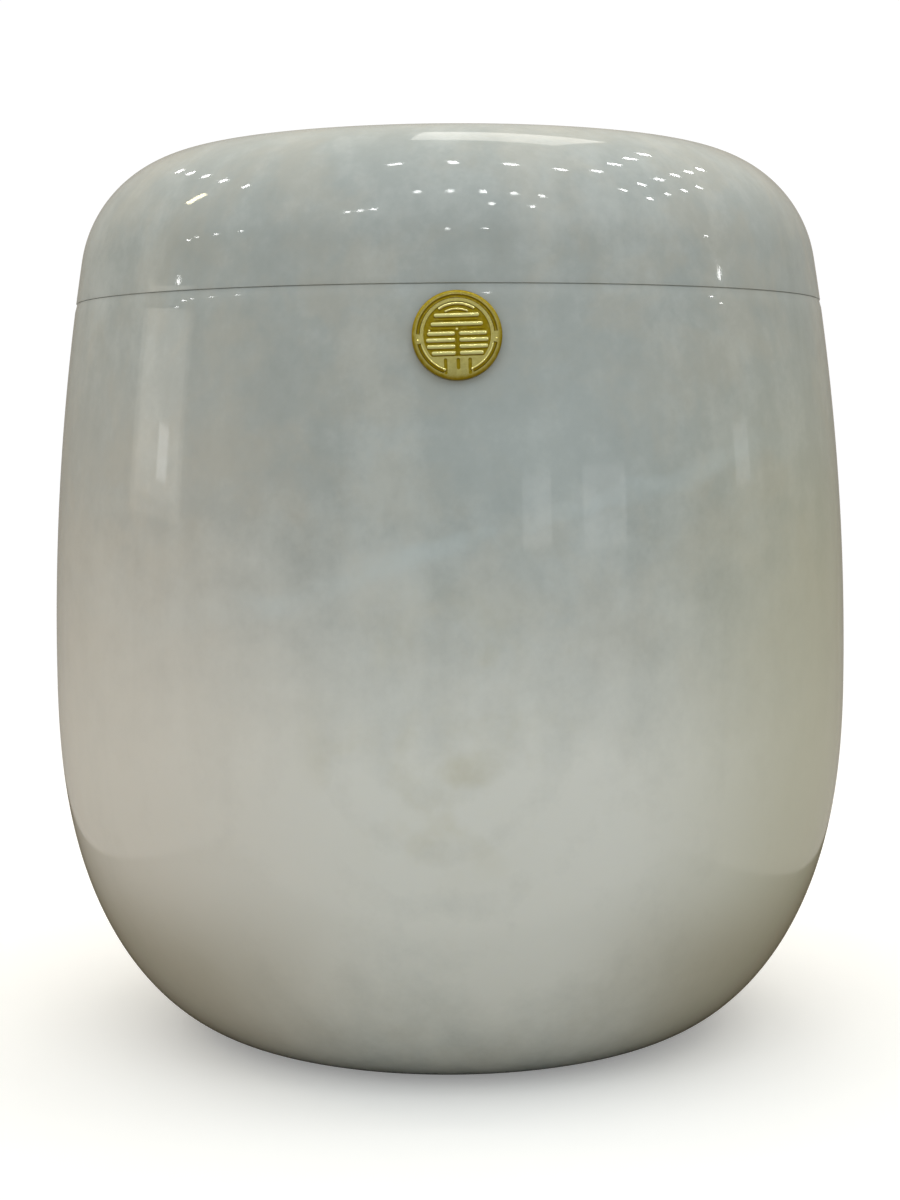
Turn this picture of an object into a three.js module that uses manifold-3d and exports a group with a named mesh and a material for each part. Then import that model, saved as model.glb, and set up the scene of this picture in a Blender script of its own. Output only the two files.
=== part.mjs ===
import * as THREE from "three";
import { mergeVertices } from "three/addons/utils/BufferGeometryUtils.js";
import Module from "manifold-3d";

// A round stone urn turned in two pieces, a hollow body and a hollow lift-off lid,
// with a gilt medallion set in the stone just under the seam.
// Millimetres, +Z up, the origin at the middle of the underside, the medallion towards -Y.

const wasm = await Module();
wasm.setup();

// Outside of the stone
const bellyRadius = 120;
const bellyHeight = 111;
const footRadius = 66.5;
const sideArcRadius = 745;
const seamHeight = 219;
const overallHeight = 267.6;
const domeArcRadius = 748;
const shoulderRadius = 38.4;

// How fast the rounded base leaves the ground and how fast it turns upright
const baseReachPower = 1.15;
const baseRisePower = 0.8;

// Inside of the body
const rimWall = 21;
const floorThickness = 22;
const floorCoveRadius = 50;
const rimChamfer = 1.1;
const mouthChamfer = 1.5;

// Lid: it rests on the rim and a short spigot keeps it centred in the mouth
const lidSeatGap = 0.3;
const lidEdgeChamfer = 0.5;
const spigotDepth = 8;
const spigotClearance = 0.75;
const spigotWall = 13;
const spigotChamfer = 1.2;
const lidTopThickness = 20;
const lidCoveRadius = 20;

// Medallion and the shallow flat-bottomed socket that it sits in
const medallionRadius = 11.5;
const medallionThickness = 2.6;
const medallionEdgeRound = 0.6;
const medallionTurn = THREE.MathUtils.degToRad(1.5);
const medallionBelowSeam = 1.6;
const socketDepth = 0.6;
const socketClearance = 0.3;
const socketFloorGap = 0.3;
const socketCutterReach = 8;
const reliefHeight = 0.45;
const reliefBevel = 0.2;

// Roundness of the faceted surfaces
const stoneSegments = 60;
const medallionSegments = 40;
const baseSteps = 16;
const sideSteps = 6;
const lidSideSteps = 2;
const domeSteps = 5;
const shoulderSteps = 8;
const coveSteps = 5;
const edgeSteps = 2;
const ringSteps = 12;
const barEndSteps = 3;

const stoneColour = 0xa9b0a6;
const giltColour = 0xb8912f;

// Points of an arc from one angle to another, both ends included
function arcPoints(centreX, centreY, radius, fromAngle, toAngle, steps) {
  const points = [];
  for (let i = 0; i <= steps; i += 1) {
    const angle = fromAngle + ((toAngle - fromAngle) * i) / steps;
    points.push(new THREE.Vector2(centreX + radius * Math.cos(angle), centreY + radius * Math.sin(angle)));
  }
  return points;
}

// The side of the stone is one long arc, widest at the belly
const sideCentre = new THREE.Vector2(bellyRadius - sideArcRadius, bellyHeight);
const domeCentre = new THREE.Vector2(0, overallHeight - domeArcRadius);

function sideRadiusAt(height) {
  const rise = height - bellyHeight;
  return sideCentre.x + Math.sqrt(sideArcRadius ** 2 - rise ** 2);
}

// The shoulder arc touches both the side arc and the dome arc from inside
function shoulderCentre() {
  const toDome = domeCentre.clone().sub(sideCentre);
  const gap = toDome.length();
  const reachSide = sideArcRadius - shoulderRadius;
  const reachDome = domeArcRadius - shoulderRadius;
  const along = (gap ** 2 + reachSide ** 2 - reachDome ** 2) / (2 * gap);
  const across = Math.sqrt(reachSide ** 2 - along ** 2);
  const direction = toDome.normalize();
  const outward = new THREE.Vector2(-direction.y, direction.x);
  return sideCentre.clone().addScaledVector(direction, along).addScaledVector(outward, across);
}

const rimRadius = sideRadiusAt(seamHeight);
const boreRadius = rimRadius - rimWall;

// Body: foot, rounded base, side, rim, straight bore, coved floor
function bodyProfile() {
  const points = [new THREE.Vector2(0, 0)];
  for (let i = 0; i <= baseSteps; i += 1) {
    const angle = (Math.PI / 2) * (i / baseSteps);
    const reach = Math.sin(angle) ** baseReachPower;
    const rise = 1 - Math.max(0, Math.cos(angle)) ** baseRisePower;
    points.push(new THREE.Vector2(footRadius + (bellyRadius - footRadius) * reach, bellyHeight * rise));
  }
  const sideTop = seamHeight - rimChamfer;
  for (let i = 1; i <= sideSteps; i += 1) {
    const height = bellyHeight + ((sideTop - bellyHeight) * i) / sideSteps;
    points.push(new THREE.Vector2(sideRadiusAt(height), height));
  }
  const cove = Math.min(floorCoveRadius, boreRadius);
  points.push(new THREE.Vector2(rimRadius - rimChamfer, seamHeight));
  points.push(new THREE.Vector2(boreRadius + mouthChamfer, seamHeight));
  points.push(new THREE.Vector2(boreRadius, seamHeight - mouthChamfer));
  points.push(...arcPoints(boreRadius - cove, floorThickness + cove, cove, 0, -Math.PI / 2, coveSteps));
  points.push(new THREE.Vector2(0, floorThickness));
  return points;
}

// Lid: ceiling cove, spigot, flange that rests on the rim, side, shoulder, dome
function lidProfile() {
  const flangeHeight = seamHeight + lidSeatGap;
  const spigotRadius = boreRadius - spigotClearance;
  const spigotFoot = flangeHeight - spigotDepth;
  const hollowRadius = spigotRadius - spigotWall;
  const ceiling = overallHeight - lidTopThickness;
  const cove = Math.min(lidCoveRadius, ceiling - spigotFoot, hollowRadius);
  const points = [new THREE.Vector2(0, ceiling)];
  points.push(...arcPoints(hollowRadius - cove, ceiling - cove, cove, Math.PI / 2, 0, coveSteps));
  points.push(new THREE.Vector2(hollowRadius, spigotFoot));
  points.push(new THREE.Vector2(spigotRadius - spigotChamfer, spigotFoot));
  points.push(new THREE.Vector2(spigotRadius, spigotFoot + spigotChamfer));
  points.push(new THREE.Vector2(spigotRadius, flangeHeight));
  points.push(new THREE.Vector2(sideRadiusAt(flangeHeight) - lidEdgeChamfer, flangeHeight));
  const centre = shoulderCentre();
  const sideAngle = centre.clone().sub(sideCentre).angle();
  const domeAngle = centre.clone().sub(domeCentre).angle();
  const shoulderFoot = centre.y + shoulderRadius * Math.sin(sideAngle);
  const sideFoot = flangeHeight + lidEdgeChamfer;
  for (let i = 0; i < lidSideSteps; i += 1) {
    const height = sideFoot + ((shoulderFoot - sideFoot) * i) / lidSideSteps;
    points.push(new THREE.Vector2(sideRadiusAt(height), height));
  }
  points.push(...arcPoints(centre.x, centre.y, shoulderRadius, sideAngle, domeAngle, shoulderSteps));
  const dome = arcPoints(0, domeCentre.y, domeArcRadius, domeAngle, Math.PI / 2, domeSteps).slice(1, -1);
  points.push(...dome, new THREE.Vector2(0, overallHeight));
  return points;
}

// A turned form: the profile is spun about +Z, and triangles that shrink to nothing on the axis go
function turned(profile, segments) {
  const lathe = new THREE.LatheGeometry(profile, segments);
  lathe.rotateX(Math.PI / 2);
  return closed(lathe);
}

// Shares the vertices of a form and keeps its real triangles only
function closed(geometry) {
  geometry.deleteAttribute("normal");
  geometry.deleteAttribute("uv");
  const shared = mergeVertices(geometry, 1e-4);
  const index = shared.getIndex().array;
  const kept = [];
  for (let i = 0; i < index.length; i += 3) {
    const [a, b, c] = [index[i], index[i + 1], index[i + 2]];
    if (a !== b && b !== c && c !== a) {
      kept.push(a, b, c);
    }
  }
  shared.setIndex(kept);
  return shared;
}

function toSolid(geometry) {
  const vertProperties = new Float32Array(geometry.getAttribute("position").array);
  const triVerts = new Uint32Array(geometry.getIndex().array);
  return new wasm.Manifold(new wasm.Mesh({ numProp: 3, vertProperties, triVerts }));
}

function toGeometry(solid) {
  const mesh = solid.getMesh();
  const geometry = new THREE.BufferGeometry();
  geometry.setAttribute("position", new THREE.BufferAttribute(mesh.vertProperties, 3));
  geometry.setIndex(new THREE.BufferAttribute(mesh.triVerts, 1));
  geometry.computeVertexNormals();
  return geometry;
}

// Where the medallion sits: on the front of the stone, leaning back with the surface
const medallionHeight = seamHeight - medallionBelowSeam - medallionRadius - socketClearance;
const stoneRadiusThere = sideRadiusAt(medallionHeight);
const leanBack = Math.asin((medallionHeight - bellyHeight) / sideArcRadius);
const seatRotation = new THREE.Euler(Math.PI / 2 - leanBack, 0, medallionTurn);
const seatPosition = new THREE.Vector3(0, -stoneRadiusThere, medallionHeight);
const seatMatrix = new THREE.Matrix4()
  .makeRotationFromEuler(seatRotation)
  .setPosition(seatPosition);

// The socket's floor lies below the lowest stone along its edge
const socketRadius = medallionRadius + socketClearance;
const stoneFall = stoneRadiusThere - Math.sqrt(stoneRadiusThere ** 2 - socketRadius ** 2);
const socketFloor = -stoneFall - socketDepth;
const medallionBack = socketFloor + socketFloorGap;

function socketCutter() {
  const profile = [
    new THREE.Vector2(0, socketFloor),
    new THREE.Vector2(socketRadius, socketFloor),
    new THREE.Vector2(socketRadius, socketCutterReach),
    new THREE.Vector2(0, socketCutterReach),
  ];
  return turned(profile, medallionSegments).applyMatrix4(seatMatrix);
}

// Medallion blank: a coin with a rounded edge, back at zero, face towards +Z
function medallionBlank() {
  const rounding = medallionEdgeRound;
  const edgeHeight = medallionThickness - rounding;
  const profile = [
    new THREE.Vector2(0, 0),
    new THREE.Vector2(medallionRadius, 0),
    ...arcPoints(medallionRadius - rounding, edgeHeight, rounding, 0, Math.PI / 2, edgeSteps),
    new THREE.Vector2(0, medallionThickness),
  ];
  return turned(profile, medallionSegments);
}

// A flat figure between two heights of the medallion, with a sloped edge where bevel is over zero
function raised(shape, bottom, top, bevel, curveSegments) {
  const extruded = new THREE.ExtrudeGeometry(shape, {
    depth: top - bottom - bevel,
    bevelEnabled: bevel > 0,
    bevelThickness: bevel,
    bevelSize: bevel,
    bevelOffset: -bevel,
    bevelSegments: 1,
    curveSegments,
  });
  extruded.translate(0, 0, bottom);
  return toSolid(closed(extruded));
}

// The ornament is laid out in shares of the medallion's radius, its angles in degrees from +X
const share = (value) => value * medallionRadius;

// A piece of a ring, between two radii and two angles
function ringPiece(innerShare, outerShare, fromDegrees, toDegrees) {
  const from = THREE.MathUtils.degToRad(fromDegrees);
  const to = THREE.MathUtils.degToRad(toDegrees);
  const shape = new THREE.Shape();
  shape.absarc(0, 0, share(outerShare), from, to, false);
  shape.absarc(0, 0, share(innerShare), to, from, true);
  shape.closePath();
  return shape;
}

// A bar with rounded ends, lying along X
function barAlong(leftShare, rightShare, middleShare, widthShare) {
  const radius = share(widthShare) / 2;
  const middle = share(middleShare);
  const shape = new THREE.Shape();
  shape.absarc(share(rightShare) - radius, middle, radius, -Math.PI / 2, Math.PI / 2, false);
  shape.absarc(share(leftShare) + radius, middle, radius, Math.PI / 2, (3 * Math.PI) / 2, false);
  shape.closePath();
  return shape;
}

// A bar with rounded ends, standing along Y
function barUpright(middleShare, bottomShare, topShare, widthShare) {
  const radius = share(widthShare) / 2;
  const middle = share(middleShare);
  const shape = new THREE.Shape();
  shape.absarc(middle, share(topShare) - radius, radius, 0, Math.PI, false);
  shape.absarc(middle, share(bottomShare) + radius, radius, Math.PI, 2 * Math.PI, false);
  shape.closePath();
  return shape;
}

// The ring groove is broken at both sides and below
const ringGroove = { inner: 0.815, outer: 0.885 };
const ringGrooveSpans = [
  [4, 178],
  [192, 250],
  [290, 348],
];

// The sunk field is a round panel cut off straight above the three upright grooves
const field = { radius: 0.74, floor: -0.475 };
const uprightGrooves = [
  { middle: -0.27, bottom: -0.8, width: 0.07 },
  { middle: 0.01, bottom: -0.74, width: 0.09 },
  { middle: 0.27, bottom: -0.8, width: 0.07 },
];
const uprightGrooveTop = -0.515;

// In the field stand an arc, two long bars, a spine and pairs of short bars beside the spine
const crownArc = { inner: 0.63, outer: 0.7, from: 56, to: 124 };
const longBars = [
  { reach: 0.5, middle: 0.44 },
  { reach: 0.58, middle: 0.245 },
];
const shortBarReaches = [0.64, 0.69, 0.67, 0.58];
const shortBarTop = 0.035;
const shortBarPitch = 0.145;
const shortBarStart = 0.06;
const barWidth = 0.088;
const spine = { bottom: -0.435, top: 0.135, width: 0.06 };

function fieldShape() {
  const radius = share(field.radius);
  const angle = Math.asin(field.floor / field.radius);
  const shape = new THREE.Shape();
  shape.absarc(0, 0, radius, angle, Math.PI - angle, false);
  shape.closePath();
  return shape;
}

function medallionSolid() {
  const sunk = medallionThickness - reliefHeight;
  const above = medallionThickness + reliefHeight;
  let solid = toSolid(medallionBlank());
  const cut = (shape, steps) => {
    solid = solid.subtract(raised(shape, sunk, above, 0, steps));
  };
  const add = (shape, steps) => {
    solid = solid.add(raised(shape, sunk - reliefBevel, medallionThickness, reliefBevel, steps));
  };
  for (const [from, to] of ringGrooveSpans) {
    cut(ringPiece(ringGroove.inner, ringGroove.outer, from, to), ringSteps);
  }
  cut(fieldShape(), ringSteps);
  for (const groove of uprightGrooves) {
    cut(barUpright(groove.middle, groove.bottom, uprightGrooveTop, groove.width), barEndSteps);
  }
  add(ringPiece(crownArc.inner, crownArc.outer, crownArc.from, crownArc.to), ringSteps);
  add(barUpright(0, spine.bottom, spine.top, spine.width), barEndSteps);
  for (const bar of longBars) {
    add(barAlong(-bar.reach, bar.reach, bar.middle, barWidth), barEndSteps);
  }
  shortBarReaches.forEach((reach, row) => {
    const middle = shortBarTop - shortBarPitch * row;
    add(barAlong(shortBarStart, reach, middle, barWidth), barEndSteps);
    add(barAlong(-reach, -shortBarStart, middle, barWidth), barEndSteps);
  });
  return solid;
}

const stone = new THREE.MeshStandardMaterial({ color: stoneColour, roughness: 0.12, metalness: 0 });
const gilt = new THREE.MeshStandardMaterial({ color: giltColour, roughness: 0.28, metalness: 1 });

const bodySolid = toSolid(turned(bodyProfile(), stoneSegments)).subtract(toSolid(socketCutter()));
const body = new THREE.Mesh(toGeometry(bodySolid), stone);
body.name = "urn_body";

const lid = new THREE.Mesh(turned(lidProfile(), stoneSegments), stone);
lid.name = "urn_lid";

const medallion = new THREE.Mesh(toGeometry(medallionSolid()), gilt);
medallion.name = "medallion";
medallion.position.z = medallionBack;

const seat = new THREE.Group();
seat.position.copy(seatPosition);
seat.rotation.copy(seatRotation);
seat.add(medallion);

const urn = new THREE.Group();
urn.add(body, lid, seat);

export default urn;
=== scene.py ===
import math

import bmesh
import bpy
from mathutils import Matrix, Vector


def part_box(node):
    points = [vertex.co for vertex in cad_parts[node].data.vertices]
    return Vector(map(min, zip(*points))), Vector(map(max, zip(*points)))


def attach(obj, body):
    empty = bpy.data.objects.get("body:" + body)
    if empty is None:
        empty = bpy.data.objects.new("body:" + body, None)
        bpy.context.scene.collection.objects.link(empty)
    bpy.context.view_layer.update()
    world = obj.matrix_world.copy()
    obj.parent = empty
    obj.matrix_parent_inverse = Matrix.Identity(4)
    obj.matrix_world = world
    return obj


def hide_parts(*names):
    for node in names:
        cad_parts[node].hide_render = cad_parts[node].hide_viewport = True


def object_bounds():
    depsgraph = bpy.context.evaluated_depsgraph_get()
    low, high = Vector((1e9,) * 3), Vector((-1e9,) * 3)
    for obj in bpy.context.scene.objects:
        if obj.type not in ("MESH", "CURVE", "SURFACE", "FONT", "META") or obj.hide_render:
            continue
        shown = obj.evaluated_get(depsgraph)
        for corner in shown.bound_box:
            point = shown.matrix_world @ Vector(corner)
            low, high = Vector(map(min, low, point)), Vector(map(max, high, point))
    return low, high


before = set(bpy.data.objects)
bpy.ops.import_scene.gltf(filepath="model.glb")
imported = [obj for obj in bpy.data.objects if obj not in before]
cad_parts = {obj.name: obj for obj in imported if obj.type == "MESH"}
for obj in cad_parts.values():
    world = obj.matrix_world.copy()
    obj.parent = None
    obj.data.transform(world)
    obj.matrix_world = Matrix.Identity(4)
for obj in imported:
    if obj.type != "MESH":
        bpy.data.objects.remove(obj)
cad_low, cad_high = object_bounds()

# Body. One block of pale onyx marble turned to a barrel on a rounded base and polished outside.
# It is bored from above to a coved floor and its rim leans in a little under the lid.
# The inside and the foot are left as ground: paler and matt.
body_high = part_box("urn_body")[1]
belly_radius = body_high.x
seam_height = body_high.z
belly_height = 0.111
foot_radius = 0.0665
side_arc_radius = 0.745
base_reach_power = 1.15
base_rise_power = 0.8
rim_wall = 0.021
floor_thickness = 0.022
floor_cove_radius = 0.05
rim_lean_height = 0.0012
rim_lean_depth = 0.0003
rim_lean_round = 0.003
mouth_chamfer = 0.0015
stone_edge_round = 0.0004
stone_turn_steps = 360
base_steps = 72
side_steps = 40
sharp_angle = math.radians(40)
ground_below = cad_high.z - 0.0185


def arc(centre_x, centre_z, radius, start, end, steps):
    """Points along an arc, both ends included."""
    angles = [start + (end - start) * i / steps for i in range(steps + 1)]
    return [Vector((centre_x + radius * math.cos(a), centre_z + radius * math.sin(a))) for a in angles]


def side_radius(height):
    """How far the outside of the wall is from the axis at a height."""
    rise = height - belly_height
    return belly_radius - side_arc_radius + math.sqrt(side_arc_radius**2 - rise**2)


def eased(before, corner, after, radius, steps=4):
    """The corner of a profile, rounded to a radius."""
    back = (before - corner).normalized()
    ahead = (after - corner).normalized()
    half = back.angle(ahead) / 2
    centre = corner + (back + ahead).normalized() * radius / math.sin(half)
    start = (corner + back * radius / math.tan(half) - centre).normalized()
    end = (corner + ahead * radius / math.tan(half) - centre).normalized()
    return [centre + start.slerp(end, i / steps) * radius for i in range(steps + 1)]


def eased_line(corners, radius):
    """A line of corners whose inner ones are rounded."""
    points = [corners[0]]
    for before, corner, after in zip(corners, corners[1:], corners[2:]):
        points += eased(before, corner, after, radius)
    return points + [corners[-1]]


def finished(name, form):
    """The bmesh as an object with smooth faces that meet sharply at real edges."""
    mesh = bpy.data.meshes.new(name)
    for face in form.faces:
        face.smooth = True
    form.to_mesh(mesh)
    form.free()
    mesh.set_sharp_from_angle(angle=sharp_angle)
    piece = bpy.data.objects.new(name, mesh)
    bpy.context.scene.collection.objects.link(piece)
    return piece


def turned(name, profile, steps):
    """A turned form: the profile is spun once round the upright axis and closed."""
    form = bmesh.new()
    points = [form.verts.new((p.x, 0, p.y)) for p in profile]
    lines = [form.edges.new(pair) for pair in zip(points, points[1:])]
    bmesh.ops.spin(form, geom=points + lines, cent=(0, 0, 0), axis=(0, 0, 1), dvec=(0, 0, 0),
                   angle=2 * math.pi, steps=steps, use_merge=True, use_duplicate=False)
    bmesh.ops.remove_doubles(form, verts=form.verts, dist=1e-6)
    bmesh.ops.recalc_face_normals(form, faces=form.faces)
    return finished(name, form)


def body_profile():
    """From the middle of the foot up the outside, over the rim and down the bore to the inner floor."""
    base = []
    for i in range(base_steps + 1):
        angle = math.pi / 2 * i / base_steps
        reach = math.sin(angle) ** base_reach_power
        rise = 1 - max(0, math.cos(angle)) ** base_rise_power
        base.append(Vector((foot_radius + (belly_radius - foot_radius) * reach, belly_height * rise)))
    side_top = seam_height - 2 * rim_lean_height
    side = [belly_height + (side_top - belly_height) * i / side_steps for i in range(1, side_steps + 1)]
    side = [Vector((side_radius(height), height)) for height in side]
    rim_radius = side_radius(seam_height)
    bore_radius = rim_radius - rim_wall
    cove_centre = (bore_radius - floor_cove_radius, floor_thickness + floor_cove_radius)
    lean_foot = Vector((rim_radius, seam_height - rim_lean_height))
    lean_top = Vector((rim_radius - rim_lean_depth, seam_height))
    rim = eased(side[-1], lean_foot, lean_top, rim_lean_round, 8)
    rim += eased(lean_foot, lean_top, Vector((bore_radius, seam_height)), stone_edge_round / 2)
    mouth = eased_line([
        rim[-1],
        Vector((bore_radius + mouth_chamfer, seam_height)),
        Vector((bore_radius, seam_height - mouth_chamfer)),
        Vector((bore_radius, cove_centre[1])),
    ], stone_edge_round)
    cove = arc(*cove_centre, floor_cove_radius, 0, -math.pi / 2, 24)
    return [Vector((0, 0))] + base + side + rim + mouth[1:-1] + cove + [Vector((0, floor_thickness))]


def node(tree, kind, inputs=(), **settings):
    """Adds a shader node, sets its fields, and links or sets its inputs."""
    made = tree.nodes.new(kind)
    for field, value in settings.items():
        setattr(made, field, value)
    for name, value in dict(inputs).items():
        if isinstance(value, bpy.types.NodeSocket):
            tree.links.new(value, made.inputs[name])
        else:
            made.inputs[name].default_value = value
    return made


stone_dark = (0.41, 0.45, 0.435)
stone_light = (0.505, 0.55, 0.535)
stone_warm = (0.60, 0.55, 0.44)
lower_white_and_painted_light = (0.82, 0.84, 0.80)
vein_and_reflection_white = (0.66, 0.77, 0.80)
reflection_place = (0.022, -0.115, 0.175)
reflection_radius = 0.04
heart_olive = (0.56, 0.53, 0.36)
left_blush = (0.78, 0.705, 0.62)
right_honey = (0.57, 0.555, 0.405)
flank_shade_brown = (0.40, 0.365, 0.27)
ground_pale = (0.72, 0.73, 0.69)
heart_place = (-0.004, -0.115, 0.104)
heart_radius = 0.034
ring_radius = 0.04
ring_pitch = 0.016
vein_height = 0.153
vein_slope = 0.26
mottle_share = 1.5
grain_share = 0.3
streak_share = 1.2
tint_share = 0.26
ring_share = 0.08
cloud_share = 0.28
vein_share = 0.3
reflection_share = 0.22
heart_share = 0.55
blush_share = 0.56
honey_share = 0.75
flank_shade_share = 0.57
ground_share = 0.4
polish_finest = 0.035
polish_dullest = 0.065
ground_roughness = 0.45


def mixed(tree, share, under, over):
    """One colour laid over another by a share from 0 to 1."""
    blend = tree.nodes.new("ShaderNodeMix")
    blend.data_type = "RGBA"
    for socket, value in ((blend.inputs[0], share), (blend.inputs[6], under), (blend.inputs[7], over)):
        if isinstance(value, bpy.types.NodeSocket):
            tree.links.new(value, socket)
        else:
            socket.default_value = (*value, 1) if isinstance(value, tuple) else value
    return blend.outputs[2]


def math_node(tree, operation, *values):
    """Arithmetic on numbers."""
    return node(tree, "ShaderNodeMath", dict(enumerate(values)), operation=operation).outputs[0]


def place_node(tree, operation, *values):
    """Arithmetic on places. A length or a distance comes out as a number."""
    made = node(tree, "ShaderNodeVectorMath", dict(enumerate(values)), operation=operation)
    return made.outputs["Value" if operation in ("LENGTH", "DISTANCE") else "Vector"]


def parts_of(tree, place):
    """The three numbers of a place, by the names X, Y and Z."""
    return node(tree, "ShaderNodeSeparateXYZ", {"Vector": place}).outputs


def product(tree, *values):
    """Two or more numbers multiplied together."""
    result = values[0]
    for value in values[1:]:
        result = math_node(tree, "MULTIPLY", result, value)
    return result


def faded(tree, value, start, end):
    """A smooth rise from 0 at start to 1 at end."""
    return node(tree, "ShaderNodeMapRange", {"Value": value, "From Min": start, "From Max": end},
                interpolation_type="SMOOTHSTEP").outputs["Result"]


def noise(tree, place, scale, detail, roughness=0.5):
    """A cloudy pattern, as a number by the name Fac and as three numbers by the name Color."""
    return node(tree, "ShaderNodeTexNoise", {"Vector": place, "Scale": scale, "Detail": detail,
                                             "Roughness": roughness}).outputs


def stirred(tree, place, scale, reach):
    """A place moved a little by noise, so that bands and edges waver."""
    swirl = place_node(tree, "SUBTRACT", noise(tree, place, scale, 3)["Color"], (0.5, 0.5, 0.5))
    swirl = node(tree, "ShaderNodeVectorMath", {0: swirl, "Scale": reach}, operation="SCALE").outputs[0]
    return place_node(tree, "ADD", place, swirl)


def polished_stone(name):
    """Pale onyx marble: cloudy grey-green with whitish bands and warm beige patches, polished; some colour
    is painted light and shade.
    """
    material = bpy.data.materials.new(name)
    material.use_nodes = True
    tree = material.node_tree
    shader = tree.nodes["Principled BSDF"]
    place = node(tree, "ShaderNodeTexCoord").outputs["Object"]
    flow = stirred(tree, place, 9, 0.02)
    across = parts_of(tree, flow)["X"]
    height = parts_of(tree, flow)["Z"]
    cloud = noise(tree, stirred(tree, place, 8, 0.06), 13, 7, 0.62)["Fac"]
    mottle = noise(tree, place, 90, 5, 0.65)["Fac"]
    grain = noise(tree, place, 480, 2)["Fac"]
    patches = noise(tree, place, 48, 4)["Fac"]
    streaks = noise(tree, place_node(tree, "MULTIPLY", flow, (1, 1, 0.1)), 75, 3)["Fac"]
    light = faded(tree, cloud, 0.1, 0.9)
    for pattern, share in ((mottle, mottle_share), (grain, grain_share), (streaks, streak_share)):
        pattern = math_node(tree, "SUBTRACT", pattern, 0.5)
        light = math_node(tree, "MULTIPLY_ADD", pattern, share, light)
    colour = mixed(tree, light, stone_dark, stone_light)
    tint = noise(tree, stirred(tree, place, 20, 0.03), 42, 4, 0.6)["Fac"]
    colour = mixed(tree, product(tree, faded(tree, tint, 0.4, 0.65), tint_share), colour, stone_warm)

    from_heart = place_node(tree, "DISTANCE", flow, heart_place)
    rings = math_node(tree, "SUBTRACT", from_heart, ring_radius)
    rings = math_node(tree, "COSINE", product(tree, rings, 2 * math.pi / ring_pitch))
    rings = product(tree, rings, faded(tree, from_heart, 0.075, 0.035), faded(tree, height, 0.13, 0.09))
    # A whiter band low on the body: partly a white zone of the stone, partly painted light for the light
    # that falls on the lower body from below and in front.
    pale = product(tree, faded(tree, height, 0.175, 0.08), faded(tree, height, -0.04, 0.05))
    pale = math_node(tree, "MULTIPLY_ADD", rings, ring_share, pale)
    pale = math_node(tree, "MULTIPLY_ADD", math_node(tree, "SUBTRACT", light, 0.5), cloud_share, pale)
    colour = mixed(tree, pale, colour, lower_white_and_painted_light)

    wavering = parts_of(tree, stirred(tree, flow, 40, 0.014))
    over_vein = math_node(tree, "MULTIPLY_ADD", wavering["X"], -vein_slope, wavering["Z"])
    over_vein = math_node(tree, "SUBTRACT", over_vein, vein_height)
    beside_vein = math_node(tree, "ABSOLUTE", over_vein)
    vein = product(tree, faded(tree, beside_vein, 0.006, 0.0005), faded(tree, patches, 0.2, 0.6), vein_share)
    vein = product(tree, vein, faded(tree, math_node(tree, "ABSOLUTE", wavering["X"]), 0.11, 0.06))
    # A pale bluish patch on the front is a painted reflection of the cool room in front. It shares its
    # whitish colour with the real vein.
    from_reflection = place_node(tree, "DISTANCE", flow, reflection_place)
    painted_reflection = product(tree, faded(tree, from_reflection, reflection_radius * 1.5, 0), reflection_share)
    colour = mixed(tree, math_node(tree, "MAXIMUM", vein, painted_reflection), colour, vein_and_reflection_white)

    heart = product(tree, faded(tree, from_heart, heart_radius * 1.4, heart_radius * 0.5),
                    faded(tree, patches, 0.4, 0.75), heart_share)
    colour = mixed(tree, heart, colour, heart_olive)
    blush = product(tree, faded(tree, across, -0.01, -0.09), faded(tree, height, 0.245, 0.11), blush_share)
    colour = mixed(tree, blush, colour, left_blush)
    honey = product(tree, faded(tree, across, 0.035, 0.11), faded(tree, height, 0.23, 0.13), honey_share)
    colour = mixed(tree, honey, colour, right_honey)
    # Painted shade: the lower flanks, to left and right, are darkened and browned where they face away from
    # the light.
    flank_shade = product(tree, faded(tree, math_node(tree, "ABSOLUTE", across), 0.02, 0.08),
                     faded(tree, height, 0.066, 0.03), flank_shade_share)
    colour = mixed(tree, flank_shade, colour, flank_shade_brown)

    true_height = parts_of(tree, place)["Z"]
    from_axis = place_node(tree, "LENGTH", place_node(tree, "MULTIPLY", place, (1, 1, 0)))
    bore_radius = side_radius(seam_height) - rim_wall
    ground = product(tree, faded(tree, from_axis, bore_radius + 0.0009, bore_radius + 0.0004),
                     faded(tree, true_height, floor_thickness - 0.002, floor_thickness - 0.001),
                     faded(tree, true_height, ground_below + 0.0005, ground_below - 0.0005))
    ground = math_node(tree, "MAXIMUM", ground, faded(tree, true_height, 0.0004, 0.0002))
    colour = mixed(tree, product(tree, ground, ground_share), colour, ground_pale)
    tree.links.new(colour, shader.inputs["Base Color"])

    polish = node(tree, "ShaderNodeMapRange", {
        "Value": mottle,
        "From Min": 0.3,
        "From Max": 0.7,
        "To Min": polish_finest,
        "To Max": polish_dullest,
    }).outputs["Result"]
    finish = math_node(tree, "MULTIPLY_ADD", ground, ground_roughness, polish)
    tree.links.new(finish, shader.inputs["Roughness"])
    ripple = node(tree, "ShaderNodeBump", {"Height": noise(tree, place, 45, 2)["Fac"], "Strength": 0.02,
                                           "Distance": 0.001}).outputs["Normal"]
    tree.links.new(ripple, shader.inputs["Normal"])
    shader.inputs["IOR"].default_value = 1.55
    shader.inputs["Subsurface Weight"].default_value = 0.2
    shader.inputs["Subsurface Radius"].default_value = (1.0, 0.9, 0.75)
    shader.inputs["Subsurface Scale"].default_value = 0.006
    return material


body = turned("onyx_body", body_profile(), stone_turn_steps)
stone = polished_stone("polished_onyx")
body.data.materials.append(stone)
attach(body, "root")
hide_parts("urn_body")

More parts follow.
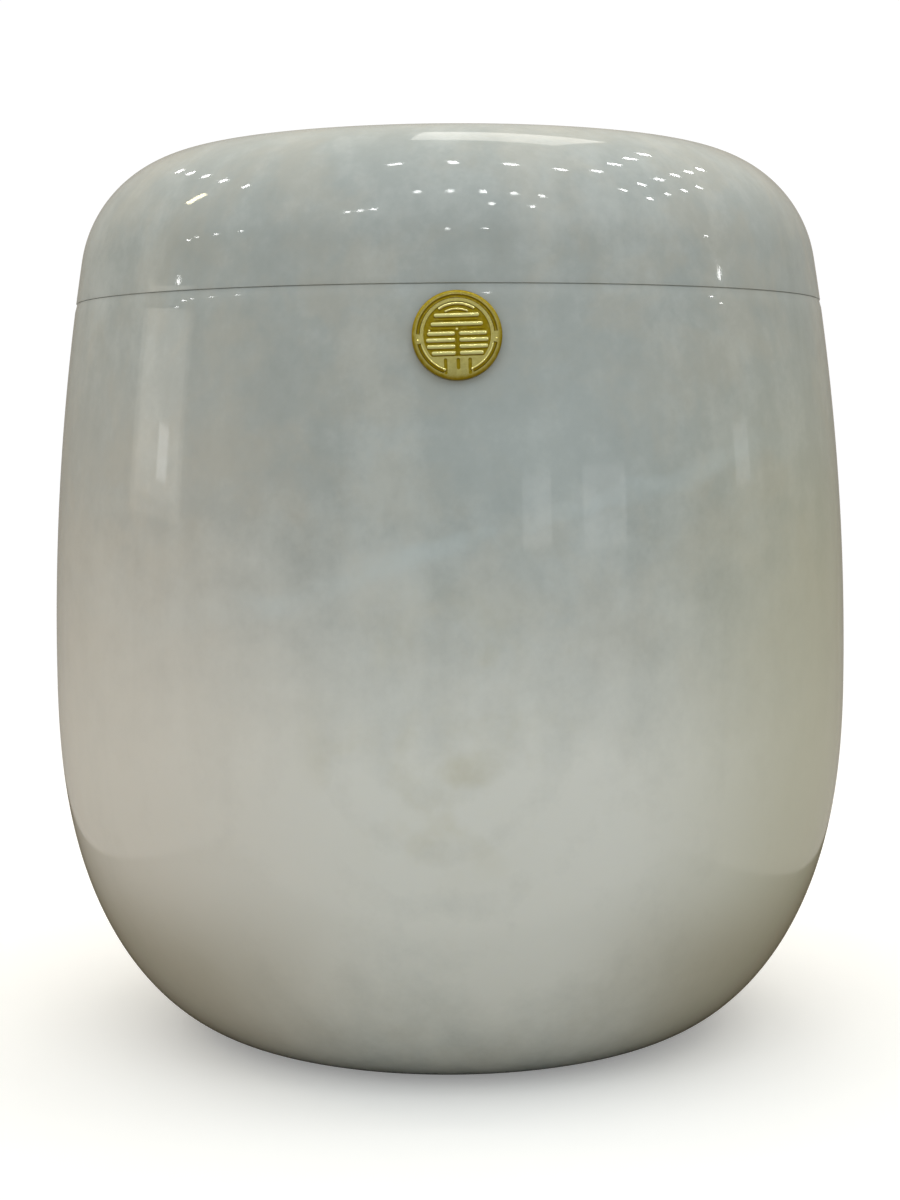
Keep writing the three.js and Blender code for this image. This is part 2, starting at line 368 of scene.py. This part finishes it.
# Lid. Turned from the same stone: a low dome over a full shoulder, hollow beneath and polished outside.
# It rests loosely on the body's rim, and a short spigot inside the mouth keeps it centred.
lid_low, lid_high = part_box("urn_lid")
overall_height = lid_high.z
dome_arc_radius = 0.748
shoulder_radius = 0.0384
lid_seat_gap = 0.00004
lid_edge_chamfer = 0.00012
lid_edge_round = 0.00004
spigot_clearance = 0.00075
spigot_wall = 0.013
spigot_chamfer = 0.0012
lid_top_thickness = 0.02
lid_cove_radius = 0.02


def shoulder_centre(side_centre, dome_centre):
    """The centre of the arc that touches the side arc and the dome arc from inside."""
    reach_side = side_arc_radius - shoulder_radius
    reach_dome = dome_arc_radius - shoulder_radius
    between = dome_centre - side_centre
    along = (between.length**2 + reach_side**2 - reach_dome**2) / (2 * between.length)
    across = math.sqrt(reach_side**2 - along**2)
    ahead = between.normalized()
    return side_centre + ahead * along + Vector((-ahead.y, ahead.x)) * across


def angle_of(line):
    """A line's angle from level, in radians."""
    return math.atan2(line.y, line.x)


def lid_profile():
    """From the hollow's ceiling down to the spigot, out along the flange and over the dome."""
    flange = seam_height + lid_seat_gap
    spigot_radius = side_radius(seam_height) - rim_wall - spigot_clearance
    hollow_radius = spigot_radius - spigot_wall
    ceiling = overall_height - lid_top_thickness
    cove_centre = (hollow_radius - lid_cove_radius, ceiling - lid_cove_radius)
    cove = arc(*cove_centre, lid_cove_radius, math.pi / 2, 0, 12)
    side_centre = Vector((belly_radius - side_arc_radius, belly_height))
    dome_centre = Vector((0, overall_height - dome_arc_radius))
    centre = shoulder_centre(side_centre, dome_centre)
    side_angle = angle_of(centre - side_centre)
    dome_angle = angle_of(centre - dome_centre)
    side_foot = flange + lid_edge_chamfer
    side_top = centre.y + shoulder_radius * math.sin(side_angle)
    side = [side_foot + (side_top - side_foot) * i / 8 for i in range(1, 8)]
    side = [Vector((side_radius(height), height)) for height in side]
    edge = eased_line([
        cove[-1],
        Vector((hollow_radius, lid_low.z)),
        Vector((spigot_radius - spigot_chamfer, lid_low.z)),
        Vector((spigot_radius, lid_low.z + spigot_chamfer)),
        Vector((spigot_radius, flange)),
        Vector((side_radius(flange) - lid_edge_chamfer, flange)),
        Vector((side_radius(side_foot), side_foot)),
        side[0],
    ], lid_edge_round)
    shoulder = arc(*centre, shoulder_radius, side_angle, dome_angle, 48)
    dome = arc(*dome_centre, dome_arc_radius, dome_angle, math.pi / 2, 32)[1:-1]
    outside = side[1:] + shoulder + dome + [Vector((0, overall_height))]
    return [Vector((0, ceiling))] + cove + edge[1:] + outside


lid = turned("onyx_lid", lid_profile(), stone_turn_steps)
lid.data.materials.append(stone)
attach(lid, "root")
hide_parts("urn_lid")

# Medallion. A small round casting, gilt and polished, set under the seam as deep as a shallow flat-bottomed
# socket would hold it, though no socket is cut in the stone.
# Its ornament is a broken ring round a sunk field of arcs and bars, much alike on both sides of a spine.
# Widths and places in the ornament are shares of the radius, and spans and angles are in degrees.
medallion_radius = 0.0115
medallion_thickness = 0.0026
medallion_turn = math.radians(1.5)
medallion_below_seam = 0.0016
socket_depth = 0.0006
socket_clearance = 0.0003
socket_floor_gap = 0.0003
relief = 0.00045
bar_round = 0.0004
ledge_round = 0.00015
disc_round = 0.0006
ring_groove_width = (0.82, 0.9)
ring_groove_spans = ((4, 178), (192, 249), (292, 348))
lip_width = (0.8, 0.835)
lip_spans = ((194, 248), (293, 346))
degrees_a_step = 3
slot_top = -0.515
slots_at = ((-0.31, -0.235, -0.87), (-0.035, 0.05, -0.77), (0.225, 0.305, -0.88))
field_radius = 0.745
field_foot = -0.475
crown_arcs = ((0.66, 0.735, 56, 124, 22), (0.55, 0.6, 64, 116, 16))
long_bars = ((0.5, 0.435), (0.575, 0.24))
long_bar_half = 0.042
ledges = ((0.465, 0.338), (0.6, 0.136))
ledge_half = 0.018
ledge_gap = 0.06
short_bar_reaches = (0.66, 0.69, 0.675, 0.575)
short_bar_top = 0.03
short_bar_pitch = 0.145
short_bar_half = 0.043
short_bar_gap = 0.045
spine_low = (-0.02, -0.455)
spine_high = (0.02, 0.11)
bead_radius = 0.0004
beads_at = ((0.866, -0.11), (-0.866, -0.11), (0, 0.125), (-0.61, 0.1))
lip_bead_reach = 0.82
lip_bead_angles = (249, 292)
gilt_bright = (1.0, 0.92, 0.37)
gilt_deep = (0.38, 0.27, 0.01)
gilt_dullest = 0.36
gilt_finest = 0.12

medallion_height = seam_height - medallion_below_seam - medallion_radius - socket_clearance
stone_radius_there = side_radius(medallion_height)
lean_back = math.asin((medallion_height - belly_height) / side_arc_radius)
socket_radius = medallion_radius + socket_clearance
stone_fall = stone_radius_there - math.sqrt(stone_radius_there**2 - socket_radius**2)
medallion_back = socket_floor_gap - stone_fall - socket_depth
seat = (Matrix.Translation((0, -stone_radius_there, medallion_height))
        @ Matrix.Rotation(math.pi / 2 - lean_back, 4, "X")
        @ Matrix.Rotation(medallion_turn, 4, "Z")
        @ Matrix.Translation((0, 0, medallion_back)))
sunk = medallion_thickness - relief
above = medallion_thickness + relief
foot = sunk - bar_round
bar_top = medallion_thickness + relief * 0.3
ledge_top = sunk + relief * 0.6


def spun_ring(form, section, start, end, steps):
    """A closed section of a ring between two angles in degrees, its ends capped."""
    start = math.radians(start)
    end = math.radians(end)
    turn = Matrix.Rotation(start, 3, "Z")
    corners = [form.verts.new(turn @ Vector((p.x, 0, p.y))) for p in section]
    loop = [form.edges.new(pair) for pair in zip(corners, corners[1:] + corners[:1])]
    form.faces.new(corners)
    made = bmesh.ops.spin(form, geom=corners + loop, cent=(0, 0, 0), axis=(0, 0, 1), dvec=(0, 0, 0),
                          angle=end - start, steps=steps, use_merge=False, use_duplicate=False)
    last = [e for e in made["geom_last"] if isinstance(e, bmesh.types.BMEdge)]
    bmesh.ops.edgeloop_fill(form, edges=last)


def groove_section(inner, outer):
    """A groove with a round bottom, seen along its length."""
    middle = (inner + outer) / 2 * medallion_radius
    half = (outer - inner) / 2 * medallion_radius
    bottom = arc(middle, sunk + half, half, math.pi, 2 * math.pi, 8)
    return bottom + [Vector((middle + half, above)), Vector((middle - half, above))]


def ridge_section(inner, outer, top):
    """A ridge with a round top, seen along its length, its foot sunk in the ground."""
    middle = (inner + outer) / 2 * medallion_radius
    half = (outer - inner) / 2 * medallion_radius
    crown = arc(middle, top - half, half, 0, math.pi, 8)
    return crown + [Vector((middle - half, foot)), Vector((middle + half, foot))]


def bar(form, low, high, bottom, top, rounding):
    """A bar between two corners of the face, with round ends and a soft top edge."""
    size = Vector((high[0] - low[0], high[1] - low[1])) * medallion_radius
    middle = Vector((low[0] + high[0], low[1] + high[1])) * medallion_radius / 2
    made = bmesh.ops.create_cube(form, size=1)["verts"]
    bmesh.ops.scale(form, vec=(size.x, size.y, top - bottom), verts=made)
    bmesh.ops.translate(form, vec=(middle.x, middle.y, (top + bottom) / 2), verts=made)
    edges = {e for v in made for e in v.link_edges}
    upright = [e for e in edges if abs(e.verts[0].co.z - e.verts[1].co.z) > (top - bottom) / 2]
    made = bmesh.ops.bevel(form, geom=upright, offset=min(size) * 0.49, offset_type="OFFSET", segments=5,
                           profile=0.5, affect="EDGES", material=-1, clamp_overlap=True)["verts"]
    if rounding:
        edges = {e for v in made for e in v.link_edges}
        upper = [e for e in edges if min(v.co.z for v in e.verts) > top - 1e-7]
        bmesh.ops.bevel(form, geom=upper, offset=rounding, offset_type="OFFSET", segments=3,
                        profile=0.5, affect="EDGES", material=-1, clamp_overlap=True)


def bead(form, across, up, radius):
    """A round bead that stands half out of the face."""
    place = Vector((across * medallion_radius, up * medallion_radius, medallion_thickness - radius / 3))
    bmesh.ops.create_uvsphere(form, u_segments=16, v_segments=10, radius=radius,
                              matrix=Matrix.Translation(place))


def joined(piece, form, operation):
    """The piece with another closed form cut from it or added to it."""
    bmesh.ops.recalc_face_normals(form, faces=form.faces)
    tool = finished("tool", form)
    change = piece.modifiers.new("change", "BOOLEAN")
    change.operation = operation
    change.solver = "EXACT"
    change.object = tool
    bpy.context.view_layer.update()
    made = bpy.data.meshes.new_from_object(piece.evaluated_get(bpy.context.evaluated_depsgraph_get()))
    piece.modifiers.clear()
    piece.data = made
    bpy.data.objects.remove(tool)


edge_centre = (medallion_radius - disc_round, medallion_thickness - disc_round)
blank = [Vector((0, 0)), Vector((medallion_radius, 0))]
blank += arc(*edge_centre, disc_round, 0, math.pi / 2, 6) + [Vector((0, medallion_thickness))]
medallion = turned("gilt_medallion", blank, 144)

grooves = bmesh.new()
for start, end in ring_groove_spans:
    spun_ring(grooves, groove_section(*ring_groove_width), start, end, (end - start) // degrees_a_step)
joined(medallion, grooves, "DIFFERENCE")

slots = bmesh.new()
for left, right, bottom in slots_at:
    bar(slots, (left, bottom), (right, slot_top), sunk, above, 0)
joined(medallion, slots, "DIFFERENCE")

field = bmesh.new()
bmesh.ops.create_cone(field, cap_ends=True, segments=96, radius1=field_radius * medallion_radius,
                      radius2=field_radius * medallion_radius, depth=above - sunk,
                      matrix=Matrix.Translation((0, 0, (above + sunk) / 2)))
bmesh.ops.bisect_plane(field, geom=field.verts[:] + field.edges[:] + field.faces[:],
                       plane_co=(0, field_foot * medallion_radius, 0), plane_no=(0, 1, 0), clear_inner=True)
bmesh.ops.holes_fill(field, edges=field.edges)
joined(medallion, field, "DIFFERENCE")

ridges = bmesh.new()
for inner, outer, start, end, steps in crown_arcs:
    spun_ring(ridges, ridge_section(inner, outer, bar_top), start, end, steps)
for reach, up in long_bars:
    bar(ridges, (-reach, up - long_bar_half), (reach, up + long_bar_half), foot, bar_top, bar_round)
for reach, up in ledges:
    for left, right in ((ledge_gap, reach), (-reach, -ledge_gap)):
        bar(ridges, (left, up - ledge_half), (right, up + ledge_half), foot, ledge_top, ledge_round)
for row, reach in enumerate(short_bar_reaches):
    up = short_bar_top - short_bar_pitch * row
    for left, right in ((short_bar_gap, reach), (-reach, -short_bar_gap)):
        bar(ridges, (left, up - short_bar_half), (right, up + short_bar_half), foot, bar_top, bar_round)
bar(ridges, spine_low, spine_high, foot, ledge_top, ledge_round)
joined(medallion, ridges, "UNION")

lower_lips = bmesh.new()
for start, end in lip_spans:
    section = ridge_section(*lip_width, above - ledge_round)
    spun_ring(lower_lips, section, start, end, (end - start) // degrees_a_step)
joined(medallion, lower_lips, "UNION")

beads = bmesh.new()
for across, up in beads_at:
    bead(beads, across, up, bead_radius)
for angle in lip_bead_angles:
    turn = math.radians(angle)
    bead(beads, lip_bead_reach * math.cos(turn), lip_bead_reach * math.sin(turn), bead_radius)
joined(medallion, beads, "UNION")
medallion.data.transform(seat)
for polygon in medallion.data.polygons:
    polygon.use_smooth = True
medallion.data.set_sharp_from_angle(angle=sharp_angle)


def gilt_casting(name):
    """Gilt brass: a painted highlight on what stands out, brown and duller in the ground between the bars
    from tarnish and painted shade.
    """
    material = bpy.data.materials.new(name)
    material.use_nodes = True
    tree = material.node_tree
    shader = tree.nodes["Principled BSDF"]
    place = node(tree, "ShaderNodeTexCoord").outputs["Object"]
    own = node(tree, "ShaderNodeMapping", {
        "Vector": place,
        "Location": seat.translation,
        "Rotation": seat.to_euler(),
    }, vector_type="TEXTURE").outputs["Vector"]
    height = parts_of(tree, own)["Z"]
    from_middle = place_node(tree, "LENGTH", place_node(tree, "MULTIPLY", own, (1, 1, 0)))
    # The gilt is darker towards the outer edge. The raised crowns are lighter as a painted highlight, and
    # the low ground is darker, partly tarnish and partly painted shade.
    darker_outer_edge = faded(tree, from_middle, medallion_radius * 0.97, medallion_radius * 0.86)
    darker_outer_edge = math_node(tree, "MULTIPLY_ADD", darker_outer_edge, 0.85, 0.15)
    relief_light_and_tarnish = product(tree, faded(tree, height, sunk + relief * 0.7, bar_top), darker_outer_edge)
    tarnish = noise(tree, place, 900, 4, 0.6)["Fac"]
    share = math_node(tree, "MULTIPLY_ADD", math_node(tree, "SUBTRACT", tarnish, 0.5), 0.5, relief_light_and_tarnish)
    tree.links.new(mixed(tree, share, gilt_deep, gilt_bright), shader.inputs["Base Color"])
    dull = node(tree, "ShaderNodeMapRange", {"Value": share, "To Min": gilt_dullest, "To Max": gilt_finest})
    tree.links.new(dull.outputs["Result"], shader.inputs["Roughness"])
    pits = node(tree, "ShaderNodeBump", {"Height": noise(tree, place, 2200, 3)["Fac"], "Strength": 0.12,
                                         "Distance": 0.00005}).outputs["Normal"]
    tree.links.new(pits, shader.inputs["Normal"])
    shader.inputs["Metallic"].default_value = 1.0
    return material


medallion.data.materials.clear()
medallion.data.materials.append(gilt_casting("gilt_casting"))
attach(medallion, "root")
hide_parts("medallion")

# Floor: a plain pale studio floor, round, which fades into the pale backdrop all round.
# The stone's polish mirrors an oblong brown table top in its place, as it does in the photograph.
floor_radius = 1.2
floor_plain_radius = 0.3
floor_rim = 0.05
floor_glow = 0.25
floor_pale = (0.9, 0.9, 0.895)
floor_bounce = (0.56, 0.54, 0.5)
table_brown = (0.09, 0.07, 0.042)
table_middle = (-0.015, 0.17, 0)
table_half_size = (0.213, 0.33, 1)
table_softness = 0.025
bpy.ops.mesh.primitive_circle_add(vertices=128, radius=floor_radius, fill_type="NGON", location=(0, 0, 0))
floor = bpy.context.object
floor.name = "studio_floor"
floor_paint = bpy.data.materials.new("studio_floor_paint")
floor_paint.use_nodes = True
floor_tree = floor_paint.node_tree
floor_shader = floor_tree.nodes["Principled BSDF"]
floor_shader.inputs["Roughness"].default_value = 0.7
floor_shader.inputs["Specular IOR Level"].default_value = 0.2
floor_shader.inputs["Emission Color"].default_value = (1, 1, 1, 1)
floor_place = node(floor_tree, "ShaderNodeTexCoord").outputs["Object"]
ray = node(floor_tree, "ShaderNodeLightPath").outputs
floor_tree.links.new(mixed(floor_tree, ray["Is Camera Ray"], floor_bounce, floor_pale),
                     floor_shader.inputs["Base Color"])
floor_tree.links.new(product(floor_tree, ray["Is Camera Ray"], floor_glow),
                     floor_shader.inputs["Emission Strength"])
from_urn = place_node(floor_tree, "LENGTH", floor_place)
floor_tree.links.new(faded(floor_tree, from_urn, floor_radius - floor_rim, floor_plain_radius),
                     floor_shader.inputs["Alpha"])
from_table = place_node(floor_tree, "SUBTRACT", floor_place, table_middle)
from_table = place_node(floor_tree, "ABSOLUTE", from_table)
from_table = parts_of(floor_tree, place_node(floor_tree, "DIVIDE", from_table, table_half_size))
from_middle = math_node(floor_tree, "MAXIMUM", from_table["X"], from_table["Y"])
table = node(floor_tree, "ShaderNodeBsdfDiffuse", {"Color": (*table_brown, 1)})
mirrored = node(floor_tree, "ShaderNodeMixShader", {
    0: faded(floor_tree, from_middle, 1 - table_softness, 1 + table_softness),
    1: table.outputs[0],
    2: node(floor_tree, "ShaderNodeBsdfTransparent").outputs[0],
})
floor_seen = node(floor_tree, "ShaderNodeMixShader", {
    0: ray["Is Glossy Ray"],
    1: floor_shader.outputs[0],
    2: mirrored.outputs[0],
})
floor_tree.links.new(floor_seen.outputs[0], floor_tree.nodes["Material Output"].inputs["Surface"])
floor.data.materials.append(floor_paint)

# Camera: close in front, a little below the seam, as in the photograph.
# It stands a degree to the left, so that the medallion shows right of the middle.
camera_distance = 0.66
camera_height = 0.1852
camera_turn = math.radians(-1.1)
camera_pitch = math.radians(4.9)
camera_roll = math.radians(-0.36)
camera_lens = 64.2
camera_data = bpy.data.cameras.new("camera")
camera_data.lens = camera_lens
camera_data.sensor_width = 36
camera = bpy.data.objects.new("camera", camera_data)
bpy.context.scene.collection.objects.link(camera)
camera.location = Matrix.Rotation(camera_turn, 3, "Z") @ Vector((0, -camera_distance, camera_height))
camera.rotation_mode = "XYZ"
level_view = Matrix.Rotation(camera_turn, 3, "Z") @ Matrix.Rotation(math.pi / 2 - camera_pitch, 3, "X")
camera.rotation_euler = (level_view @ Matrix.Rotation(camera_roll, 3, "Z")).to_euler()
bpy.context.scene.camera = camera
bpy.context.scene.view_settings.view_transform = "Standard"

# Light: a pale room that is dim at eye level and bright overhead, cooler in front and warmer behind.
# Low windows stand at the left and in front, with a small bright glint on each side.
# Overhead there are a panel, a warm lamp and rows of small lamps on the ceiling.
room_dim = 0.27
room_bright = 1.15
backdrop_strength = 1.02
room_front = (0.93, 0.98, 1.0)
room_behind = (1.0, 0.93, 0.8)
room_floor = (1.5, 1.38, 1.2)
world = bpy.data.worlds.new("studio")
world.use_nodes = True
bpy.context.scene.world = world
sky = world.node_tree
sky.nodes.clear()
direction = node(sky, "ShaderNodeTexCoord").outputs["Generated"]
toward = parts_of(sky, direction)
room_colour = mixed(sky, faded(sky, toward["Y"], -0.9, 0.9), room_front, room_behind)
room_level = node(sky, "ShaderNodeMapRange", {
    "Value": faded(sky, toward["Z"], -0.1, 1.0),
    "To Min": room_dim,
    "To Max": room_bright,
}).outputs["Result"]
room_colour = mixed(sky, faded(sky, toward["Z"], -0.02, -0.25), room_colour, room_floor)
glow = node(sky, "ShaderNodeBackground", {"Color": room_colour, "Strength": room_level})
backdrop = node(sky, "ShaderNodeBackground", {"Color": (1, 1, 1, 1), "Strength": backdrop_strength})
seen = node(sky, "ShaderNodeLightPath").outputs["Is Camera Ray"]
shown = node(sky, "ShaderNodeMixShader", {0: seen, 1: glow.outputs[0], 2: backdrop.outputs[0]})
node(sky, "ShaderNodeOutputWorld", {"Surface": shown.outputs[0]})


def lamp(name, place, width, height, radiance, colour=(1, 1, 1)):
    """A flat lamp of a size and brightness, facing the urn."""
    light = bpy.data.lights.new(name, "AREA")
    light.shape = "RECTANGLE"
    light.size = width
    light.size_y = height
    light.energy = radiance * math.pi * width * height
    light.color = colour
    lamp_object = bpy.data.objects.new(name, light)
    bpy.context.scene.collection.objects.link(lamp_object)
    place = Matrix.Rotation(camera_turn, 3, "Z") @ Vector(place)
    lamp_object.location = place
    toward_urn = Vector((0, 0, overall_height)) - place
    lamp_object.rotation_euler = toward_urn.to_track_quat("-Z", "Y").to_euler()
    lamp_object.visible_camera = False


lamp("left_window", (-1.97, -0.02, 0.46), 0.74, 0.46, 0.55, (1, 0.93, 0.8))
lamp("left_window_core", (-1.95, -0.03, 0.47), 0.6, 0.4, 0.5, (1, 0.93, 0.8))
lamp("left_glint", (-1.9, -0.11, 0.36), 0.13, 0.11, 1.6, (0.95, 0.98, 1))
lamp("right_glint", (1.95, -0.03, 0.35), 0.2, 0.12, 0.7)
lamp("front_window", (1.0, -2.3, 0.37), 0.35, 0.22, 0.8)
lamp("front_window_wide", (1.7, -1.85, 0.37), 0.55, 0.24, 0.75)
lamp("ceiling_panel", (0.27, 1.4, 2.45), 0.85, 0.7, 1.6, (1, 0.97, 0.9))
lamp("warm_lamp", (-2.68, 0.66, 2.45), 0.16, 0.36, 14, (1, 0.88, 0.55))

ceiling_height = 2.45
lamp_share = 0.024
small_lamp_radiance = 18
lamp_rows = (
    (Vector((1.18, 0)), Vector((0, 0.46)), 4),
    (Vector((1.82, -0.48)), Vector((0, 0.45)), 6),
    (Vector((2.36, -0.44)), Vector((0, 0.46)), 4),
    (Vector((-1.86, 0.1)), Vector((0, 0.58)), 5),
    (Vector((-0.38, -0.2)), Vector((0.42, 0)), 4),
    (Vector((-0.33, -1.45)), Vector((0.36, 0)), 5),
    (Vector((-1.54, -2.26)), Vector((0.23, 0)), 3),
    (Vector((0.6, -2.08)), Vector((0.6, 0)), 2),
    (Vector((0, -4.5)), Vector((0.9, 0.1)), 2),
    (Vector((-4.5, -1.87)), Vector((-0.76, 0.6)), 3),
    (Vector((-6.6, -0.4)), Vector((-1.8, 0.15)), 2),
    (Vector((6.4, -0.4)), Vector((1.9, 0.3)), 2),
)
for row, (first, spacing, count) in enumerate(lamp_rows):
    for i in range(count):
        spot = Vector((*(first + spacing * i), ceiling_height))
        width = lamp_share * spot.length
        height = 2 * width * (ceiling_height / spot.length) ** 1.5
        lamp(f"ceiling_lamp_{row}_{i}", spot, width, height, small_lamp_radiance)
